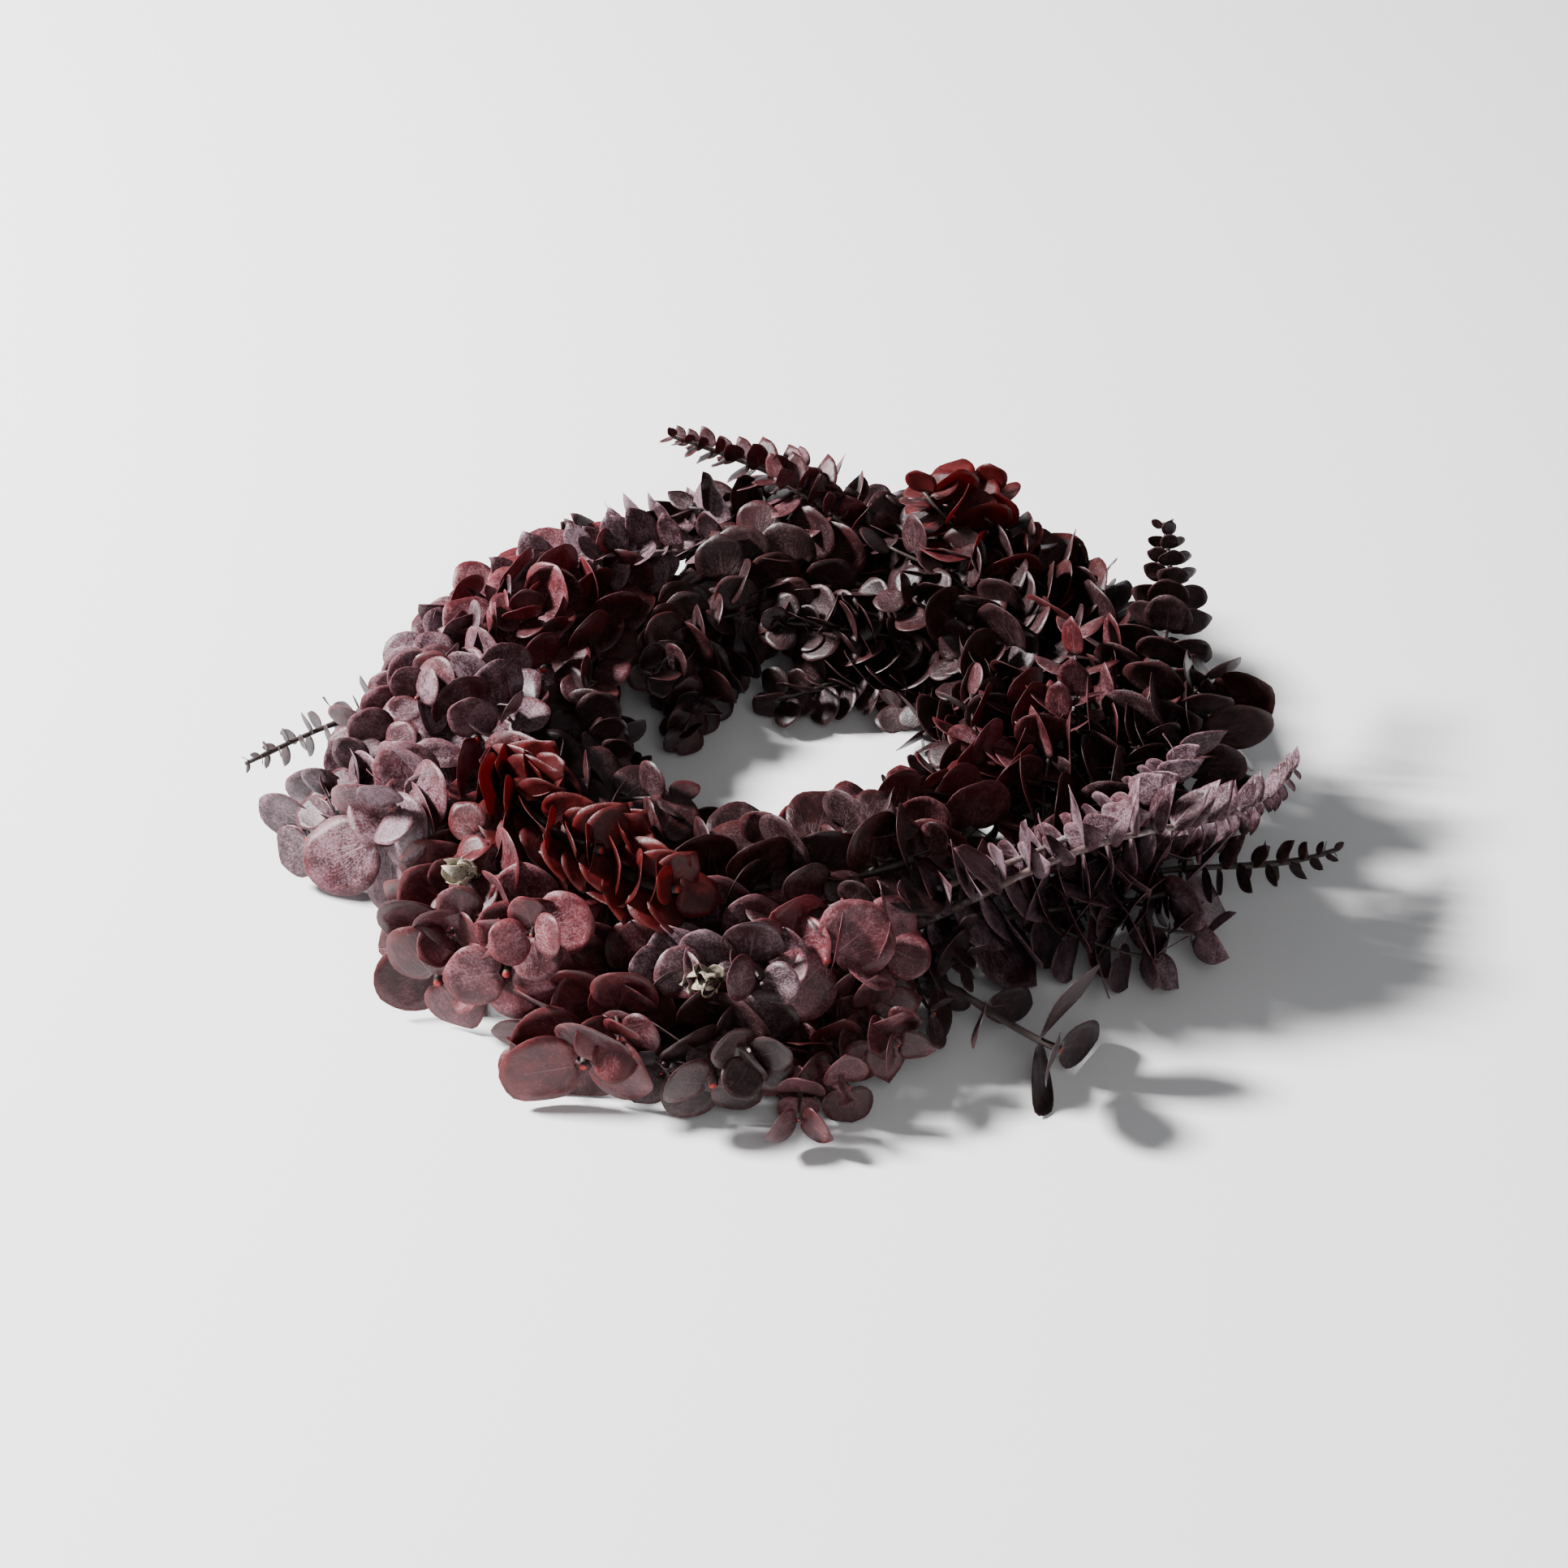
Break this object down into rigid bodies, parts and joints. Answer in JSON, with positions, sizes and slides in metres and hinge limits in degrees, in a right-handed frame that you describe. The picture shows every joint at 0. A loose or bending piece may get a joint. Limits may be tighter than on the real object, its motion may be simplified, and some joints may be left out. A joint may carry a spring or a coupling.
{
  "type": "wreath",
  "caption": "Round wreath of dark eucalyptus sprigs bound onto a four-rail wire form, with a wire loop behind to hang it by.",
  "frame": {"origin": "centre of the wreath's outline at the plane its back lies on", "axes": "+Z out of the door towards the viewer, +Y up the door, +X to the viewer's right"},
  "size_m": [0.4819, 0.4441, 0.1044],
  "materials": {
    "form_wire": "dark green enamel on steel wire",
    "binding_wire": "green enamelled paddle wire",
    "hanger_wire": "galvanised",
    "eucalyptus": "preserved leaves, burgundy with a pale waxy bloom"
  },
  "bodies": {
    "wreath": {"inner_front_rail": "form_wire", "outer_front_rail": "form_wire", "inner_back_rail": "form_wire", "outer_back_rail": "form_wire", "cross_wire_1": "form_wire", "cross_wire_2": "form_wire", "cross_wire_3": "form_wire", "cross_wire_4": "form_wire", "cross_wire_5": "form_wire", "cross_wire_6": "form_wire", "binding_wire": "binding_wire", "sprig_outer_low_01": "eucalyptus", "sprig_outer_low_02": "eucalyptus", "sprig_outer_low_03": "eucalyptus", "sprig_left_tip": "eucalyptus", "sprig_outer_low_04": "eucalyptus", "sprig_outer_low_05": "eucalyptus", "sprig_outer_low_06": "eucalyptus", "sprig_outer_low_07": "eucalyptus", "sprig_outer_low_08": "eucalyptus", "sprig_stray_twig": "eucalyptus", "sprig_outer_low_09": "eucalyptus", "sprig_right_tip": "eucalyptus", "sprig_outer_high_01": "eucalyptus", "sprig_outer_high_02": "eucalyptus", "sprig_outer_high_03": "eucalyptus", "sprig_outer_high_04": "eucalyptus", "sprig_outer_high_05": "eucalyptus", "sprig_outer_high_06": "eucalyptus", "sprig_outer_high_07": "eucalyptus", "sprig_outer_high_08": "eucalyptus", "sprig_outer_high_09": "eucalyptus", "sprig_outer_high_10": "eucalyptus", "sprig_right_long": "eucalyptus", "sprig_outer_high_11": "eucalyptus", "sprig_upper_right_tip": "eucalyptus", "sprig_top_cluster": "eucalyptus", "sprig_top_01": "eucalyptus", "sprig_upper_left_tip": "eucalyptus", "sprig_top_02": "eucalyptus", "sprig_top_03": "eucalyptus", "sprig_top_04": "eucalyptus", "sprig_backlit_left": "eucalyptus", "sprig_backlit_right": "eucalyptus", "sprig_top_05": "eucalyptus", "sprig_top_06": "eucalyptus", "sprig_top_07": "eucalyptus", "sprig_inner_high_01": "eucalyptus", "sprig_inner_high_02": "eucalyptus", "sprig_inner_high_03": "eucalyptus", "sprig_inner_high_04": "eucalyptus", "sprig_inner_high_05": "eucalyptus", "sprig_inner_high_06": "eucalyptus", "sprig_inner_low_01": "eucalyptus", "sprig_inner_low_02": "eucalyptus", "sprig_inner_low_03": "eucalyptus", "sprig_inner_low_04": "eucalyptus", "sprig_inner_low_05": "eucalyptus", "sprig_inner_low_06": "eucalyptus"},
    "hanger": {"hanger": "hanger_wire"}
  },
  "joints": [
    {"name": "hanger_swing", "type": "hinge", "parent": "wreath", "child": "hanger", "pos_m": [0, 0.14, 0.0062], "axis": [-1, 0, 0], "range_deg": [0, 150]}
  ]
}
